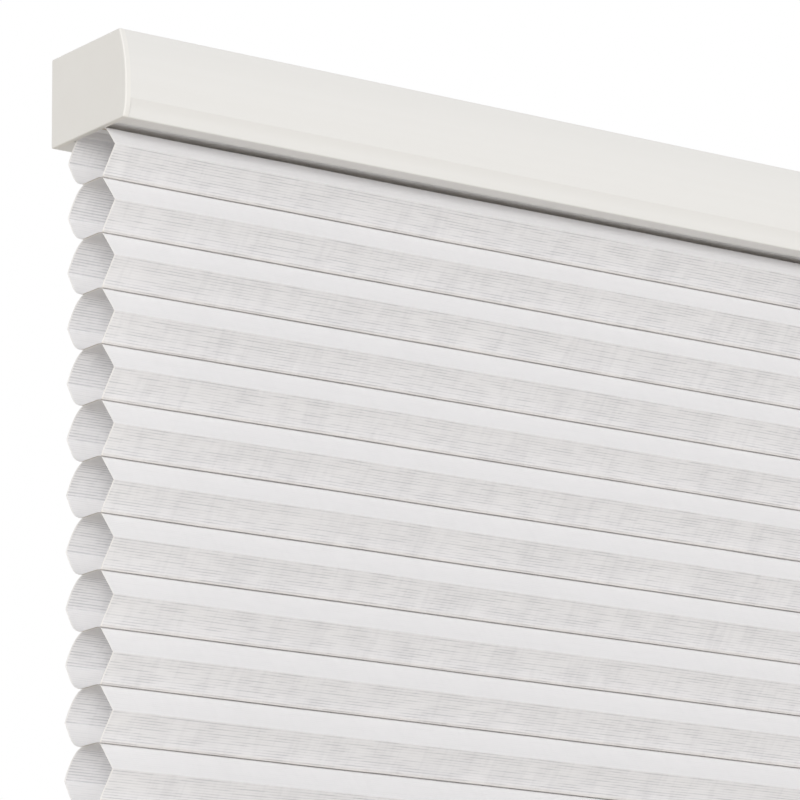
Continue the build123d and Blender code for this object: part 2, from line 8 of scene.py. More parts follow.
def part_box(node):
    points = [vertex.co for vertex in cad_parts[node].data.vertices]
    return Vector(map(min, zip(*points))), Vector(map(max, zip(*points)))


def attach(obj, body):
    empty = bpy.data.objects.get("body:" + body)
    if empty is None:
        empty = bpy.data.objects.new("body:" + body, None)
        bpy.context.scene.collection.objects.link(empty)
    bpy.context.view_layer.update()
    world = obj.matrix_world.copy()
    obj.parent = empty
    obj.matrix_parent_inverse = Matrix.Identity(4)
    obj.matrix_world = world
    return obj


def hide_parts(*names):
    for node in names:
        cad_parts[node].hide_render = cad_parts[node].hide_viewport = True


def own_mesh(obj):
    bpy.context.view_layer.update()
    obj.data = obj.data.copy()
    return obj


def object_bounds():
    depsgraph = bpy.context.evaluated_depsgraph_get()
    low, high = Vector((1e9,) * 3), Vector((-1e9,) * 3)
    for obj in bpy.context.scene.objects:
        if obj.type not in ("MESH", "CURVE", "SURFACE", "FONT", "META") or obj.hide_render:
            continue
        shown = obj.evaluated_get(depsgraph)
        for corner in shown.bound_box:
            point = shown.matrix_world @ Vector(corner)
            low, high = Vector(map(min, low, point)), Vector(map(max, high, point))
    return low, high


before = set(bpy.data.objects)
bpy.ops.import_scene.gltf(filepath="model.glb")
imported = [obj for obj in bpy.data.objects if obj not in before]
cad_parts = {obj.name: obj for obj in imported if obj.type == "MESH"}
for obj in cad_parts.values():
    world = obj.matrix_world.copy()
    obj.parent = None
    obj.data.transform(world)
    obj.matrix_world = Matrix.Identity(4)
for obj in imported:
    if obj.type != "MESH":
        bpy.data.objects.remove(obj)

CAD_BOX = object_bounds()
MM = 0.001

# One cell's section in millimetres, depth and height from its middle: for each bend its start, the point that
# it leans to, and how many steps it takes. The next bend's start is its end. Both glue lines lie a little
# higher than half a cell above and below the middle
HALF_CELL = 9.5
HALF_CLOTH = 0.2
GLUE_RISE = 0.85
UPPER_FLAT = HALF_CELL + GLUE_RISE - HALF_CLOTH
LOWER_FLAT = -HALF_CELL + GLUE_RISE + HALF_CLOTH
ROOM_SIDE = [
    ((0.0, UPPER_FLAT), (-2.8, UPPER_FLAT), 2),
    ((-5.6, UPPER_FLAT), (-7.0, UPPER_FLAT), 4),
    ((-8.2, 8.3), (-11.35, 4.6), 3),
    ((-14.4, 0.7), (-11.6, -2.75), 4),
    ((-8.6, -6.1), (-7.15, -7.85), 4),
    ((-7.05, -8.4), (-7.0, -8.8), 3),
    ((-6.3, -8.8), (-5.2, LOWER_FLAT), 2),
    ((-4.2, LOWER_FLAT), (-2.1, LOWER_FLAT), 2),
]
WINDOW_SIDE = [
    ((0.0, LOWER_FLAT), (2.2, LOWER_FLAT), 2),
    ((4.5, LOWER_FLAT), (8.7, LOWER_FLAT), 4),
    ((11.2, -4.9), (13.0, -2.0), 4),
    ((14.6, 0.75), (10.0, 8.9), 7),
    ((4.7, UPPER_FLAT), (2.3, UPPER_FLAT), 2),
]

# The bend that starts at each side's crease, counted from 0
ROOM_CREASE = 3
WINDOW_CREASE = 3

# Honeycomb cloth
CELL_COUNT = 45
CELL_PITCH = 2 * HALF_CELL * MM
CLOTH_THICKNESS = 2 * HALF_CLOTH * MM
LOOP_HEIGHT = 2.2 * MM
LOOP_STEPS = 6
LENGTH_STEPS = 48
SWAY = 0.25 * MM
SWAY_LENGTH = 70.0 * MM
CREASE_LIMIT = math.radians(35)

# The first cell is drawn in under the headrail: how far its shoulders are below the upper glue line, the half
# depth of its neck, and the neck's slope
SHOULDER_DROP = 1.6 * MM
NECK_HALF_DEPTH = 3.4 * MM
NECK_SLOPE = 6.0

# The last cell is narrower, so that it goes down between the bottom rail's lips when the blind is raised: the
# share of its depth that is left, up to which height, and how softly the depth comes back above
LAST_CELL_SHARE = 0.9
LAST_CELL_HEIGHT = 15.0 * MM
LAST_CELL_FADE = 6.0 * MM

# Cloth colours, and tints that are multiplied onto them: painted light on the raised stack, a paler cut end,
# and painted shade above the glue lines and in the first cell's neck
CLOTH_WHITE = (0.912, 0.907, 0.921)
# The grey that the ribs, the grain and the painted shade of the walls that face down take the cloth to
RIB_GRAIN_AND_SHADE_GREY = (0.625, 0.625, 0.65)
NO_TINT = (1.0, 1.0, 1.0)
# Painted light for the raised stack, where the folds are pressed together
PRESSED_PAINTED_LIGHT = (1.08, 1.085, 1.077)
CUT_TINT = (1.07, 1.06, 1.03)
# Painted shade of the groove above each glue line, with a little warm glue tone
GLUE_GROOVE_SHADE = (0.87, 0.84, 0.79)
# Painted shadow of the headrail on the first cell's neck, where it goes up into the slot
NECK_PAINTED_SHADE = (0.68, 0.60, 0.52)
THROUGH_COLOUR = (0.98, 0.972, 0.965, 1.0)
THROUGH_SHARE = 0.11
CLOTH_ROUGHNESS = 0.9
CLOTH_SPECULAR = 0.15

# Where the cloth's looks change, measured along it from the nearest crease, or in from its cut ends
# The walls that face down, which carry the painted rib shade, from just past the crease to near the glue line
RIB_SHADE_START = (-0.2 * MM, 0.3 * MM)
RIB_SHADE_END = (12.5 * MM, 14.5 * MM)
CREASE_FADE = 5.0 * MM
PRESSED_END = (6.0 * MM, 8.0 * MM)
GLUE_START = (10.4 * MM, 12.6 * MM)
NECK_START = (10.5 * MM, 12.5 * MM)
CUT_START, CUT_FULL = 0.7 * MM, 0.3 * MM

# The cells are numbered from 0 down the blind, and the painted shadow on the first one's neck ends between
# these numbers
FIRST_CELL_RANGE = (0.2, 0.8)

# Ribs, slubs, grain and streaks of the cloth: noise scales per metre along and across, the part of the noise
# that shows, how dark each one is, and how it stands out. The ribs' grey is strong on the walls that face down
# and faint on the others, which is painted shade under the raised threads. Those walls also get a flat painted
# shade, and more painted shade near each crease.
RIB_PITCH = 1.0 * MM
RIB_SHARPNESS = 2.6
RIB_WANDER = 1.5
WANDER_SCALE, WANDER_CELL_STEP = 9.0, 3.7
SLUB_SCALE, SLUB_RANGE, SLUB_DETAIL = 75.0, (0.38, 0.68), 3.0
ROWS_A_CELL, SLUB_ROW_STEP = 31.0, 1.7
GRAIN_SCALE, GRAIN_RANGE = (500.0, 70.0), (0.45, 0.72)
STREAK_SCALE, STREAK_RANGE = (110.0, 45.0), (0.42, 0.72)
LEAST_RIB = 0.2
PLAIN_SIDE_RIB = 0.15
# Ribs are painted darker towards the window, as shade inside the cells
ROOM_RIB, WINDOW_RIB = 1.0, 1.8
# How dark each mark is. The flat darkening of the walls that face down and the darkening near the crease are
# painted shade
DOWN_FACING_SHADE = 0.05
GRAIN_SHADE = 0.10
STREAK_SHADE = 0.14
CREASE_PAINTED_SHADE = 0.08
PLAIN_GRAIN_SHADE = 0.04
RIB_FADE = 0.9
# How much of the painted groove shade above the glue lines shows
GLUE_GROOVE_SHARE = 0.9
RIB_RELIEF = 0.05 * MM
LEAST_RIB_HEIGHT = 0.4
GRAIN_HEIGHT = 0.3

# How far up or down the cloth has to face before its folds count as pressed together in the raised stack,
# where it is painted lighter in place of the light that the thin skin loses between the folds
PRESSED_RANGE = (0.93, 0.985)

# Lift cords
CORD_RADIUS = 0.6 * MM
CORD_SIDES = 12
CORD_STRANDS = 4.0
CORD_STRAND_PITCH = 1.6 * MM
CORD_RELIEF = 0.08 * MM
CORD_ROUGHNESS = 0.8
CORD_EDGE_LIMIT = math.radians(60)
# The braid's colour in the hollows between the strands, darker as painted shade, and at their crowns
CORD_HOLLOW_SHADE, CORD_CROWN = (0.70, 0.69, 0.66), (0.86, 0.85, 0.83)

# Rails: noise scales per metre, the part of the noise that shows, and the depth of relief
RAIL_WHITE, RAIL_DULL = (0.806, 0.799, 0.784), (0.790, 0.781, 0.763)
RAIL_DRAW_SCALE, RAIL_DRAW_RANGE, RAIL_DRAW_SHARE = (2.0, 260.0), (0.3, 0.7), 0.5
RAIL_PEEL_SCALE, RAIL_PEEL_RELIEF = 2600.0, 0.01 * MM
RAIL_ROUGHNESS, RAIL_ROUGHNESS_SPREAD = 0.38, 0.08
RAIL_SPECULAR = 0.4

# Moulded parts and steel parts, in the same way
FLOW_SCALE, FLOW_RANGE, FLOW_SHARE = 90.0, (0.3, 0.75), 0.6
MOULD_SCALE, MOULD_RELIEF = 4200.0, 0.012 * MM
MOULD_ROUGHNESS_SPREAD = 0.12
MOULD_SPECULAR = 0.25
STEEL_LINE_SCALE, STEEL_LINE_RELIEF = (30.0, 5000.0), 0.006 * MM
STEEL_BLOTCH_SCALE, STEEL_BLOTCH_RANGE = 240.0, (0.35, 0.7)
STEEL_ROUGHNESS_SPREAD = 0.15
STEEL_DETAIL = 3.0

# Each moulded or steel finish: its colour, the colour that it goes to in places, and its roughness
MOULDED = {
    "cap_plastic": ((0.846, 0.833, 0.806), (0.834, 0.819, 0.790), 0.55),
    "white_nylon": ((0.80, 0.80, 0.78), (0.74, 0.74, 0.72), 0.45),
    "grey_nylon": ((0.42, 0.43, 0.44), (0.36, 0.37, 0.38), 0.5),
    "strip_plastic": ((0.72, 0.72, 0.70), (0.66, 0.66, 0.64), 0.3),
}
STEEL = {
    "spring_steel": ((0.46, 0.47, 0.49), (0.38, 0.39, 0.42), 0.25),
    "zinc_steel": ((0.60, 0.61, 0.62), (0.50, 0.51, 0.53), 0.32),
}

# Camera, measured from the left end of the cloth and its upper glue line
CAMERA_FROM_CLOTH = Vector((-830.437, -1309.172, -479.992)) * MM
CAMERA_YAW = 0.6310
CAMERA_PITCH = 0.2443
CAMERA_ROLL = -0.0107
CAMERA_LENS = 218.26
SENSOR_WIDTH = 36.0

# Studio. Each lamp has the way that its light goes, its width in degrees and its strength
FLOOR_DROP = 300.0 * MM
FLOOR_HALF = 6.0
FLOOR_PALE, FLOOR_WORN = (0.86, 0.822, 0.760), (0.84, 0.802, 0.740)
FLOOR_SCALE, FLOOR_DETAIL, FLOOR_RANGE = 3.0, 4.0, (0.3, 0.7)
FLOOR_ROUGHNESS = 0.8
SURROUND_WHITE, SURROUND_STRENGTH = (1.0, 1.0, 1.0, 1.0), 1.0
SKY_COLOUR, SKY_STRENGTH = (1.0, 0.995, 0.985, 1.0), 0.50
LAMPS = {
    "key": ((1.95, 2.35, -0.27), 27.0, 1.64),
    "fill": ((-0.8, 3.4, 0.45), 38.0, 0.48),
    "back": ((-1.6, -3.2, -0.8), 34.0, 1.15),
}

cloth_low, cloth_high = (Vector(corner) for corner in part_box("cell_fabric"))
CLOTH_WIDTH = cloth_high.x - cloth_low.x
TOP_GLUE = cloth_high.z - LOOP_HEIGHT
BOTTOM_GLUE = TOP_GLUE - CELL_COUNT * CELL_PITCH


class Wire:
    """A socket of a node tree. Sums and products of wires add the Math nodes that work them out."""

    def __init__(self, tree, socket=None):
        self.tree = tree
        self.socket = socket

    def node(self, kind, settings=None, inputs=None, output=0):
        """Adds a node with its settings and its sockets' values or links, and gives one of its outputs."""
        made = self.tree.nodes.new(kind)
        for name, value in (settings or {}).items():
            setattr(made, name, value)
        for key, value in (inputs or {}).items():
            if isinstance(value, Wire):
                self.tree.links.new(value.socket, made.inputs[key])
            else:
                made.inputs[key].default_value = value
        return Wire(self.tree, made.outputs[output]) if len(made.outputs) else None

    def out(self, name):
        """Another output of the node that this wire leaves."""
        return Wire(self.tree, self.socket.node.outputs[name])

    def math(self, operation, *others):
        """A Math node on this wire and further wires or numbers."""
        inputs = dict(enumerate((self, *others)))
        return self.node("ShaderNodeMath", {"operation": operation}, inputs)

    def __add__(self, other):
        return self.math("ADD", other)

    __radd__ = __add__

    def __mul__(self, other):
        return self.math("MULTIPLY", other)

    __rmul__ = __mul__

    def __sub__(self, other):
        return self.math("SUBTRACT", other)

    def __rsub__(self, other):
        return self.node("ShaderNodeMath", {"operation": "SUBTRACT"}, {0: other, 1: self})

    def __truediv__(self, other):
        return self.math("DIVIDE", other)

    def __rtruediv__(self, other):
        return self.node("ShaderNodeMath", {"operation": "DIVIDE"}, {0: other, 1: self})

    def __pow__(self, other):
        return self.math("POWER", other)

    def floor(self):
        return self.math("FLOOR")

    def step(self, low, high):
        """0 below low, 1 above high, and smooth between them."""
        return self.node(
            "ShaderNodeMapRange",
            {"interpolation_type": "SMOOTHSTEP"},
            {"Value": self, "From Min": low, "From Max": high},
        )


def vector(x, y, z):
    """A vector from three wires or numbers, at least one of them a wire."""
    wire = next(part for part in (x, y, z) if isinstance(part, Wire))
    return wire.node("ShaderNodeCombineXYZ", None, {"X": x, "Y": y, "Z": z})


def noise(place, scale, detail=2.0):
    """Cloudy noise between 0 and 1."""
    return place.node("ShaderNodeTexNoise", None, {"Vector": place, "Scale": scale, "Detail": detail})


def drawn_out(place, along, across):
    """A place for noise, scaled so that its marks run along the blind."""
    split = place.node("ShaderNodeSeparateXYZ", None, {"Vector": place})
    return vector(split * along, split.out("Y") * across, split.out("Z") * across)


def tint(amount, plain, changed):
    """A colour that goes from plain to changed with amount."""
    inputs = {0: amount, 6: (*plain, 1.0), 7: (*changed, 1.0)}
    return amount.node("ShaderNodeMix", {"data_type": "RGBA"}, inputs, output=2)


def times(colour, other):
    """Two colours multiplied."""
    settings = {"data_type": "RGBA", "blend_type": "MULTIPLY"}
    return colour.node("ShaderNodeMix", settings, {0: 1.0, 6: colour, 7: other}, output=2)


def new_material(name):
    """An empty material and a wire into its tree."""
    material = bpy.data.materials.new(name)
    material.use_nodes = True
    material.node_tree.nodes.clear()
    return material, Wire(material.node_tree)


def show(tree, shader):
    """Ends a material with its shader."""
    tree.node("ShaderNodeOutputMaterial", None, {"Surface": shader})


def bump(height, depth):
    """A normal that follows a height, times a depth in metres."""
    return height.node("ShaderNodeBump", None, {"Strength": 1.0, "Distance": depth, "Height": height})


def cloth_shade(along, fold, side, cell):
    """How grey the ribs, slubs, grain and streaks make the cloth, and the height of its ribs.

    The ribs show strongly on the lower wall towards the room and on the upper wall towards the window, the
    walls that face down, and faintly on the others: their grey there is painted shade under the raised
    threads. The walls that face down also get a flat painted shade, more painted shade near the crease, and
    stronger grain and streaks.
    The ribs are painted darker towards the window, as shade inside the cells.
    """
    away = fold.math("ABSOLUTE")
    # The walls that face down, where ribs, grain and streaks show strongly as painted shade
    rib_shade_side = (fold * side * -1.0).step(*RIB_SHADE_START) * (1.0 - away.step(*RIB_SHADE_END))
    wander = noise(vector(along * WANDER_SCALE, cell * WANDER_CELL_STEP, side), 1.0)
    phase = fold / RIB_PITCH + wander * RIB_WANDER
    rib = ((phase * (2 * math.pi)).math("SINE") * 0.5 + 0.5) ** RIB_SHARPNESS
    row = phase.floor() + cell * ROWS_A_CELL
    slub_place = vector(along * SLUB_SCALE, row * SLUB_ROW_STEP, side + cell)
    slub = noise(slub_place, 1.0, SLUB_DETAIL).step(*SLUB_RANGE)
    grain = noise(vector(along * GRAIN_SCALE[0], fold * GRAIN_SCALE[1], cell), 1.0).step(*GRAIN_RANGE)
    streak_place = vector(along * STREAK_SCALE[0], fold * STREAK_SCALE[1], cell + side)
    streak = noise(streak_place, 1.0).step(*STREAK_RANGE)
    # Painted shade near each crease
    near_crease = 1.0 - away.step(0.0, CREASE_FADE)
    line = rib * (LEAST_RIB + (1 - LEAST_RIB) * slub) * (PLAIN_SIDE_RIB + (1 - PLAIN_SIDE_RIB) * rib_shade_side)
    line = line * ((WINDOW_RIB + ROOM_RIB) / 2 + (WINDOW_RIB - ROOM_RIB) / 2 * side)
    # A flat painted shade on the walls that face down, with their grain and streaks and the painted shade near
    # the crease
    blotch = DOWN_FACING_SHADE + grain * GRAIN_SHADE + streak * STREAK_SHADE + near_crease * CREASE_PAINTED_SHADE
    shade = line + rib_shade_side * blotch + grain * PLAIN_GRAIN_SHADE
    height = rib * (LEAST_RIB_HEIGHT + (1 - LEAST_RIB_HEIGHT) * slub) * -1.0 + grain * GRAIN_HEIGHT
    return shade, height


def honeycomb_cloth():
    """White non-woven cloth with a fine rib along the blind, slubs and a faint cross grain.

    It is paler at its cut ends. It is painted lighter where its folds are pressed together in the raised
    stack, in place of the light that the thin skin loses there. It has warm painted shade above the glue
    lines, with a little glue tone, and painted shadow of the headrail in the neck of the first cell.
    """
    material, tree = new_material("honeycomb_cloth")
    place = tree.node("ShaderNodeTexCoord", output="Object")
    along = place.node("ShaderNodeSeparateXYZ", None, {"Vector": place})
    fold = tree.node("ShaderNodeAttribute", {"attribute_name": "fold"}, output="Fac")
    side = tree.node("ShaderNodeAttribute", {"attribute_name": "side"}, output="Fac")
    cell = tree.node("ShaderNodeAttribute", {"attribute_name": "cell"}, output="Fac")
    shade, height = cloth_shade(along, fold, side, cell)
    half_width = CLOTH_WIDTH / 2
    cut_end = along.math("ABSOLUTE").step(half_width - CUT_START, half_width - CUT_FULL)
    # Painted light: the cloth is paler and its ribs fainter where the folds are pressed together in the raised
    # stack
    facing = tree.node("ShaderNodeNewGeometry", output="True Normal")
    level = facing.node("ShaderNodeSeparateXYZ", None, {"Vector": facing}, output="Z").math("ABSOLUTE")
    by_crease = 1.0 - fold.math("ABSOLUTE").step(*PRESSED_END)
    pressed = level.step(*PRESSED_RANGE) * by_crease * (1.0 - cut_end)
    ribs_left = (1.0 - cut_end * RIB_FADE) * (1.0 - pressed * RIB_FADE)
    # Painted shadow of the headrail on the room side of the first cell's neck
    first_cell, room_side = 1.0 - cell.step(*FIRST_CELL_RANGE), 0.5 - 0.5 * side
    neck = first_cell * room_side * (fold * -1.0).step(*NECK_START)
    colour = tint(shade * ribs_left, CLOTH_WHITE, RIB_GRAIN_AND_SHADE_GREY)
    for amount, changed in (
        (pressed, PRESSED_PAINTED_LIGHT),
        # Painted shade of the groove above each glue line, with a little glue tone
        (fold.step(*GLUE_START) * GLUE_GROOVE_SHARE, GLUE_GROOVE_SHADE),
        (cut_end, CUT_TINT),
        (neck, NECK_PAINTED_SHADE),
    ):
        colour = times(colour, tint(amount, NO_TINT, changed))
    face = tree.node(
        "ShaderNodeBsdfPrincipled",
        None,
        {
            "Base Color": colour,
            "Roughness": CLOTH_ROUGHNESS,
            "Specular IOR Level": CLOTH_SPECULAR,
            "Normal": bump(height, RIB_RELIEF),
        },
    )
    through = tree.node("ShaderNodeBsdfTranslucent", None, {"Color": THROUGH_COLOUR})
    show(tree, tree.node("ShaderNodeMixShader", None, {0: THROUGH_SHARE, 1: face, 2: through}))
    return material


def coated_aluminium():
    """Satin white powder coat: a fine orange peel, with long soft differences of gloss from the extrusion."""
    material, tree = new_material("coated_aluminium")
    place = tree.node("ShaderNodeTexCoord", output="Object")
    draw = noise(drawn_out(place, *RAIL_DRAW_SCALE), 1.0)
    peel = noise(place, RAIL_PEEL_SCALE, 1.0)
    colour = tint(draw.step(*RAIL_DRAW_RANGE) * RAIL_DRAW_SHARE, RAIL_WHITE, RAIL_DULL)
    face = tree.node(
        "ShaderNodeBsdfPrincipled",
        None,
        {
            "Base Color": colour,
            "Roughness": draw * RAIL_ROUGHNESS_SPREAD + RAIL_ROUGHNESS,
            "Specular IOR Level": RAIL_SPECULAR,
            "Normal": bump(peel, RAIL_PEEL_RELIEF),
        },
    )
    show(tree, face)
    return material


def moulded_plastic(name, plain, changed, roughness):
    """Moulded plastic with a fine spark-eroded grain and a faint flow mark."""
    material, tree = new_material(name)
    place = tree.node("ShaderNodeTexCoord", output="Object")
    flow = noise(place, FLOW_SCALE)
    grain = noise(place, MOULD_SCALE)
    colour = tint(flow.step(*FLOW_RANGE) * FLOW_SHARE, plain, changed)
    face = tree.node(
        "ShaderNodeBsdfPrincipled",
        None,
        {
            "Base Color": colour,
            "Roughness": grain * MOULD_ROUGHNESS_SPREAD + roughness,
            "Specular IOR Level": MOULD_SPECULAR,
            "Normal": bump(grain, MOULD_RELIEF),
        },
    )
    show(tree, face)
    return material


def drawn_steel(name, plain, changed, roughness):
    """Bare or zinc-coated steel with fine lines along the blind from drawing."""
    material, tree = new_material(name)
    place = tree.node("ShaderNodeTexCoord", output="Object")
    lines = noise(drawn_out(place, *STEEL_LINE_SCALE), 1.0, STEEL_DETAIL)
    blotch = noise(place, STEEL_BLOTCH_SCALE, STEEL_DETAIL)
    colour = tint((blotch.step(*STEEL_BLOTCH_RANGE) + lines) * 0.5, plain, changed)
    face = tree.node(
        "ShaderNodeBsdfPrincipled",
        None,
        {
            "Base Color": colour,
            "Metallic": 1.0,
            "Roughness": lines * STEEL_ROUGHNESS_SPREAD + roughness,
            "Normal": bump(lines, STEEL_LINE_RELIEF),
        },
    )
    show(tree, face)
    return material


def braided_cord():
    """White polyester braid: two sets of strands that cross round the cord."""
    material, tree = new_material("braided_cord")
    place = tree.node("ShaderNodeTexCoord", output="Object")
    split = place.node("ShaderNodeSeparateXYZ", None, {"Vector": place})
    turn = tree.node("ShaderNodeAttribute", {"attribute_name": "turn"}, output="Fac")
    rise = split.out("Z") * (2 * math.pi / CORD_STRAND_PITCH)
    left_lay = (turn * CORD_STRANDS + rise).math("SINE")
    right_lay = (turn * CORD_STRANDS - rise).math("SINE")
    strand = left_lay.math("MAXIMUM", right_lay) * 0.5 + 0.5
    # Painted shade in the hollows between the strands
    colour = tint(strand, CORD_HOLLOW_SHADE, CORD_CROWN)
    face = tree.node(
        "ShaderNodeBsdfPrincipled",
        None,
        {"Base Color": colour, "Roughness": CORD_ROUGHNESS, "Normal": bump(strand, CORD_RELIEF)},
    )
    show(tree, face)
    return material


def pale_floor():
    """Pale floor, which hides nothing from a view below it."""
    material, tree = new_material("pale_floor")
    place = tree.node("ShaderNodeTexCoord", output="Object")
    wear = noise(place, FLOOR_SCALE, FLOOR_DETAIL).step(*FLOOR_RANGE)
    colour = tint(wear, FLOOR_PALE, FLOOR_WORN)
    face = tree.node("ShaderNodeBsdfPrincipled", None, {"Base Color": colour, "Roughness": FLOOR_ROUGHNESS})
    under = tree.node("ShaderNodeNewGeometry", output="Backfacing")
    clear = tree.node("ShaderNodeBsdfTransparent")
    show(tree, tree.node("ShaderNodeMixShader", None, {0: under, 1: face, 2: clear}))
    return material


def bent(bends, end):
    """Points along a chain of bends, from the first bend's start to the chain's end."""
    points = []
    ends = [bend[0] for bend in bends[1:]] + [end]
    for (start, lean, steps), stop in zip(bends, ends):
        for count in range(steps):
            share = count / steps
            weights = ((1 - share) ** 2, 2 * share * (1 - share), share**2)
            place = [sum(w * p[axis] for w, p in zip(weights, (start, lean, stop))) for axis in (0, 1)]
            points.append(Vector(place) * MM)
    return points


def run_lengths(points):
    """How far along the chain each point is."""
    steps = [(after - before).length for before, after in zip(points, points[1:])]
    return list(np.concatenate(([0.0], np.cumsum(steps))))


def cell_section():
    """Points round one cell with their distance from the nearest crease, positive below it, and their side.

    The side is -1 towards the room and 1 towards the window. The points start at the middle of the upper
    glue line and go round by the room side.
    """
    section = []
    for bends, crease, end, side in (
        (ROOM_SIDE, ROOM_CREASE, WINDOW_SIDE[0][0], -1.0),
        (WINDOW_SIDE, WINDOW_CREASE, ROOM_SIDE[0][0], 1.0),
    ):
        points = bent(bends, end)
        lengths = run_lengths(points)
        fold = lengths[sum(bend[2] for bend in bends[:crease])]
        section += [(point, (fold - length) * side, side) for point, length in zip(points, lengths)]
    return section


def loop_section():
    """Points round a flattened end loop of the cloth, as for a cell."""
    half_depth = (cloth_high.y - cloth_low.y) / 2
    half_height = LOOP_HEIGHT / 2 - CLOTH_THICKNESS / 2
    straight = half_depth - half_height - CLOTH_THICKNESS / 2
    section = []
    for side in (1.0, -1.0):
        for count in range(LOOP_STEPS + 1):
            turn = math.pi * count / LOOP_STEPS
            place = Vector((straight + half_height * math.sin(turn), half_height * math.cos(turn))) * side
            section.append((place, turn * half_height, side))
    return section


def girth_of(section):
    """The length of cloth once round a section."""
    points = [point[0] for point in section]
    return sum((after - before).length for before, after in zip(points, points[1:] + points[:1]))


def sheet_from_section(name, section):
    """A closed section drawn out along the blind, centred on the origin, as one skin of cloth."""
    ring = len(section)
    stations = np.linspace(-CLOTH_WIDTH / 2, CLOTH_WIDTH / 2, LENGTH_STEPS + 1)
    corners = [(x, point.x, point.y) for x in stations for point, _, _ in section]
    faces = []
    for station in range(LENGTH_STEPS):
        for count in range(ring):
            after = (count + 1) % ring
            near, far = station * ring, (station + 1) * ring
            faces.append((near + count, near + after, far + after, far + count))
    mesh = bpy.data.meshes.new(name)
    mesh.from_pydata(corners, [], faces)
    for place, label in ((1, "fold"), (2, "side")):
        attribute = mesh.attributes.new(label, "FLOAT", "POINT")
        attribute.data.foreach_set("value", [point[place] for _ in stations for point in section])
    mesh.update()
    made = bpy.data.objects.new(name, mesh)
    bpy.context.scene.collection.objects.link(made)
    return made


def socket_of(tree, name):
    """The identifier of a node group's input, by which a modifier sets it."""
    return next(item.identifier for item in tree.interface.items_tree if item.name == name)


def node_group(name, inputs):
    """An empty geometry tree with a geometry input and output and further named inputs."""
    tree = bpy.data.node_groups.new(name, "GeometryNodeTree")
    tree.interface.new_socket("Geometry", in_out="INPUT", socket_type="NodeSocketGeometry")
    for label, kind in inputs.items():
        tree.interface.new_socket(label, in_out="INPUT", socket_type=kind)
    tree.interface.new_socket("Shape", in_out="OUTPUT", socket_type="NodeSocketGeometry")
    entry = tree.nodes.new("NodeGroupInput")
    return tree, {item.name: Wire(tree, item) for item in entry.outputs if item.name}


def honeycomb_tree():
    """Repeats a cell down the blind and numbers the cells.

    The first and the last cell are drawn in, and the whole cloth sways a little.
    """
    tree, given = node_group(
        "honeycomb",
        {
            "Cells": "NodeSocketInt",
            "Pitch": "NodeSocketFloat",
            "First": "NodeSocketVector",
            "Sway": "NodeSocketFloat",
            "Sway Length": "NodeSocketFloat",
            "Shoulder": "NodeSocketFloat",
            "Foot": "NodeSocketFloat",
            "Cloth": "NodeSocketMaterial",
        },
    )
    wire = Wire(tree)
    step = vector(0.0, 0.0, given["Pitch"] * -1.0)
    places = wire.node(
        "GeometryNodeMeshLine",
        {"mode": "OFFSET"},
        {"Count": given["Cells"], "Start Location": given["First"], "Offset": step},
    )
    cells = wire.node("GeometryNodeInstanceOnPoints", None, {"Points": places, "Instance": given["Geometry"]})
    number = wire.node("GeometryNodeInputIndex")
    numbered = wire.node(
        "GeometryNodeStoreNamedAttribute",
        {"data_type": "FLOAT", "domain": "INSTANCE"},
        {"Geometry": cells, "Name": "cell", "Value": number},
    )
    whole = wire.node("GeometryNodeRealizeInstances", None, {"Geometry": numbered})
    split = wire.node("ShaderNodeSeparateXYZ", None, {"Vector": wire.node("GeometryNodeInputPosition")})
    depth = split.out("Y").math("ABSOLUTE")
    neck = (NECK_HALF_DEPTH - depth).math("MAXIMUM", 0.0) * NECK_SLOPE
    height = split.out("Z").math("MINIMUM", given["Shoulder"] + neck)
    above_last = split.out("Z").step(given["Foot"], given["Foot"] + LAST_CELL_FADE)
    narrowed = split.out("Y") * (LAST_CELL_SHARE + above_last * (1 - LAST_CELL_SHARE))
    drawn_in = wire.node(
        "GeometryNodeSetPosition",
        None,
        {"Geometry": whole, "Position": vector(split.out("X"), narrowed, height)},
    )
    scaled = wire.node(
        "ShaderNodeVectorMath",
        {"operation": "SCALE"},
        {"Vector": wire.node("GeometryNodeInputPosition"), "Scale": 1.0 / given["Sway Length"]},
    )
    drift = noise(scaled, 1.0).out("Color")
    centred = wire.node("ShaderNodeVectorMath", {"operation": "SUBTRACT"}, {0: drift, 1: (0.5, 0.5, 0.5)})
    sideways = wire.node(
        "ShaderNodeVectorMath",
        {"operation": "MULTIPLY"},
        {0: centred, 1: vector(0.0, given["Sway"] * 2.0, given["Sway"] * 2.0)},
    )
    swayed = wire.node("GeometryNodeSetPosition", None, {"Geometry": drawn_in, "Offset": sideways})
    dressed = wire.node("GeometryNodeSetMaterial", None, {"Geometry": swayed, "Material": given["Cloth"]})
    wire.node("NodeGroupOutput", None, {"Shape": dressed})
    return tree


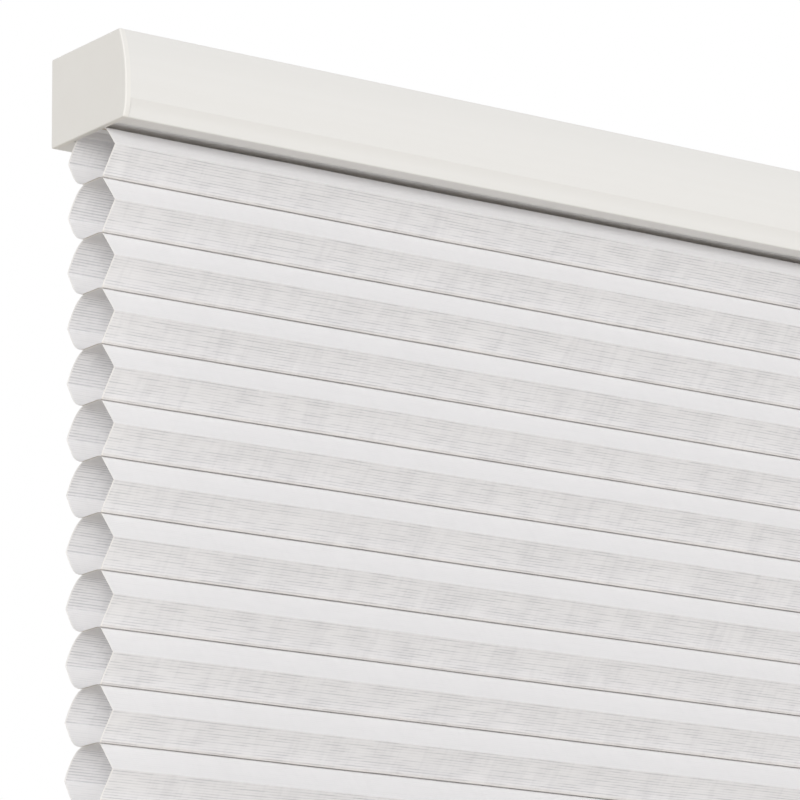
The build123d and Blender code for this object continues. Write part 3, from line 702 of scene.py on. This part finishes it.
def cord_tree():
    """A round cord between two points, with the turn round it kept for its strands."""
    tree, given = node_group(
        "lift_cord",
        {
            "Upper End": "NodeSocketVector",
            "Lower End": "NodeSocketVector",
            "Radius": "NodeSocketFloat",
            "Sides": "NodeSocketInt",
            "Braid": "NodeSocketMaterial",
        },
    )
    wire = Wire(tree)
    path = wire.node(
        "GeometryNodeCurvePrimitiveLine", None, {"Start": given["Upper End"], "End": given["Lower End"]}
    )
    round_line = wire.node(
        "GeometryNodeCurvePrimitiveCircle", None, {"Resolution": given["Sides"], "Radius": given["Radius"]}
    )
    part = wire.node("GeometryNodeSplineParameter", output="Index")
    turned = wire.node(
        "GeometryNodeStoreNamedAttribute",
        {"data_type": "FLOAT", "domain": "POINT"},
        {"Geometry": round_line, "Name": "turn", "Value": part * (2 * math.pi) / given["Sides"]},
    )
    tube = wire.node(
        "GeometryNodeCurveToMesh", None, {"Curve": path, "Profile Curve": turned, "Fill Caps": True}
    )
    whole = wire.node("GeometryNodeRealizeInstances", None, {"Geometry": tube})
    dressed = wire.node("GeometryNodeSetMaterial", None, {"Geometry": whole, "Material": given["Braid"]})
    wire.node("NodeGroupOutput", None, {"Shape": dressed})
    return tree


def grown(piece, tree, values):
    """Runs a geometry tree on a piece and keeps the result as the piece's plain mesh."""
    modifier = piece.modifiers.new(tree.name, "NODES")
    modifier.node_group = tree
    for name, value in values.items():
        modifier[socket_of(tree, name)] = value
    bpy.context.view_layer.update()
    done = piece.evaluated_get(bpy.context.evaluated_depsgraph_get())
    piece.data = bpy.data.meshes.new_from_object(done)
    piece.modifiers.clear()


def smooth_between_edges(piece, limit):
    """Smooth shading, with an edge kept sharp where the surface turns by more than the limit."""
    piece.data.shade_smooth()
    piece.data.set_sharp_from_angle(angle=limit)


def make_cloth(material):
    """The whole honeycomb with its two end loops."""
    tree = honeycomb_tree()
    cloth = sheet_from_section("honeycomb", cell_section())
    loops = sheet_from_section("end_loops", loop_section())
    shared = {"Sway Length": SWAY_LENGTH, "Cloth": material}
    cells = {
        "Cells": CELL_COUNT,
        "Pitch": CELL_PITCH,
        "First": (0.0, 0.0, TOP_GLUE - CELL_PITCH / 2),
        "Sway": SWAY,
        "Shoulder": TOP_GLUE - SHOULDER_DROP,
        "Foot": BOTTOM_GLUE + LAST_CELL_HEIGHT,
    }
    both_loops = {
        "Cells": 2,
        "Pitch": TOP_GLUE - BOTTOM_GLUE + LOOP_HEIGHT,
        "First": (0.0, 0.0, TOP_GLUE + LOOP_HEIGHT / 2),
        "Sway": 0.0,
        "Shoulder": cloth_high.z,
        "Foot": BOTTOM_GLUE - CELL_PITCH,
    }
    for piece, values in ((cloth, cells), (loops, both_loops)):
        grown(piece, tree, {**values, **shared})
        smooth_between_edges(piece, CREASE_LIMIT)
    with bpy.context.temp_override(active_object=cloth, selected_editable_objects=[cloth, loops]):
        bpy.ops.object.join()
    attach(cloth, "headrail")
    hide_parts("cell_fabric")
    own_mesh(cloth)
    girth = CELL_COUNT * girth_of(cell_section()) + 2 * girth_of(loop_section())


def make_cords(material):
    """Both lift cords, which shorten as the bottom rail goes up."""
    tree = cord_tree()
    for side in ("left", "right"):
        node = f"{side}_lift_cord"
        low, high = (Vector(corner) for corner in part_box(node))
        middle = (low + high) / 2
        cord = bpy.data.objects.new(f"{side}_cord_braid", bpy.data.meshes.new(f"{side}_cord_braid"))
        bpy.context.scene.collection.objects.link(cord)
        grown(
            cord,
            tree,
            {
                "Upper End": (middle.x, middle.y, high.z),
                "Lower End": (middle.x, middle.y, low.z),
                "Radius": CORD_RADIUS,
                "Sides": CORD_SIDES,
                "Braid": material,
            },
        )
        smooth_between_edges(cord, CORD_EDGE_LIMIT)
        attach(cord, "headrail")
        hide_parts(node)
        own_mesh(cord)


def dress(material, *nodes):
    """Gives CAD nodes their finish."""
    for name in nodes:
        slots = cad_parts[name].data.materials
        slots.clear()
        slots.append(material)


def dress_nodes():
    """The finishes of the rails, caps, strips, brackets and lift mechanism."""
    rail = coated_aluminium()
    cap, pale, grey, strip = (moulded_plastic(name, *finish) for name, finish in MOULDED.items())
    spring, zinc = (drawn_steel(name, *finish) for name, finish in STEEL.items())
    dress(rail, "headrail", "bottom_rail")
    dress(cap, "left_end_cap", "right_end_cap", "left_bottom_cap", "right_bottom_cap")
    dress(strip, "top_fabric_strip", "bottom_fabric_strip")
    dress(spring, "power_spring")
    dress(zinc, "left_mounting_bracket", "right_mounting_bracket", "lift_shaft")
    for side in ("left", "right"):
        dress(pale, f"{side}_cord_spool", f"{side}_shaft_collar", f"{side}_cord_anchor")
        dress(grey, f"{side}_spool_cradle")
    dress(grey, "spring_motor_case", "spring_motor_cover", "output_drum", "storage_drum")


def set_camera():
    """The camera stands to the left of the blind and below its headrail, and looks up a little."""
    ahead = Vector(
        (
            math.sin(CAMERA_YAW) * math.cos(CAMERA_PITCH),
            math.cos(CAMERA_YAW) * math.cos(CAMERA_PITCH),
            math.sin(CAMERA_PITCH),
        )
    )
    level = Vector((math.cos(CAMERA_YAW), -math.sin(CAMERA_YAW), 0.0))
    above = level.cross(ahead)
    right = level * math.cos(CAMERA_ROLL) + above * math.sin(CAMERA_ROLL)
    up = above * math.cos(CAMERA_ROLL) - level * math.sin(CAMERA_ROLL)
    data = bpy.data.cameras.new("camera")
    data.lens = CAMERA_LENS
    data.sensor_width = SENSOR_WIDTH
    camera = bpy.data.objects.new("camera", data)
    turned = Matrix((right, up, -ahead)).transposed().to_4x4()
    corner = Vector((cloth_low.x, 0.0, TOP_GLUE))
    camera.matrix_world = Matrix.Translation(corner + CAMERA_FROM_CLOTH) @ turned
    bpy.context.scene.collection.objects.link(camera)
    bpy.context.scene.camera = camera


def far_light(name, heading, width, strength):
    """A wide soft lamp so far away that it lights blind and floor evenly."""
    data = bpy.data.lights.new(name, "SUN")
    data.angle = math.radians(width)
    data.energy = strength
    light = bpy.data.objects.new(name, data)
    light.rotation_mode = "QUATERNION"
    light.rotation_quaternion = Vector(heading).to_track_quat("-Z", "Y")
    bpy.context.scene.collection.objects.link(light)


def set_studio():
    """A white surround that also lights the blind softly, and far lamps on the room side and behind."""
    scene = bpy.context.scene
    scene.view_settings.view_transform = "Standard"
    world = bpy.data.worlds.new("studio")
    scene.world = world
    world.use_nodes = True
    world.node_tree.nodes.clear()
    tree = Wire(world.node_tree)
    path = tree.node("ShaderNodeLightPath", output="Is Camera Ray")
    seen = path.math("MAXIMUM", path.out("Is Glossy Ray")).math("MAXIMUM", path.out("Is Transmission Ray"))
    surround = {"Color": SURROUND_WHITE, "Strength": SURROUND_STRENGTH}
    white = tree.node("ShaderNodeBackground", None, surround)
    soft = tree.node("ShaderNodeBackground", None, {"Color": SKY_COLOUR, "Strength": SKY_STRENGTH})
    sky = tree.node("ShaderNodeMixShader", None, {0: seen, 1: soft, 2: white})
    tree.node("ShaderNodeOutputWorld", None, {"Surface": sky})
    for name, (heading, width, strength) in LAMPS.items():
        far_light(name, heading, width, strength)


def lay_floor():
    """A wide pale floor below the blind."""
    height = CAD_BOX[0].z - FLOOR_DROP
    mesh = bpy.data.meshes.new("floor")
    corners = ((-1, -1), (1, -1), (1, 1), (-1, 1))
    mesh.from_pydata([(x * FLOOR_HALF, y * FLOOR_HALF, height) for x, y in corners], [], [(0, 1, 2, 3)])
    mesh.materials.append(pale_floor())
    floor = bpy.data.objects.new("floor", mesh)
    bpy.context.scene.collection.objects.link(floor)


set_camera()
set_studio()
lay_floor()
dress_nodes()
make_cloth(honeycomb_cloth())
make_cords(braided_cord())
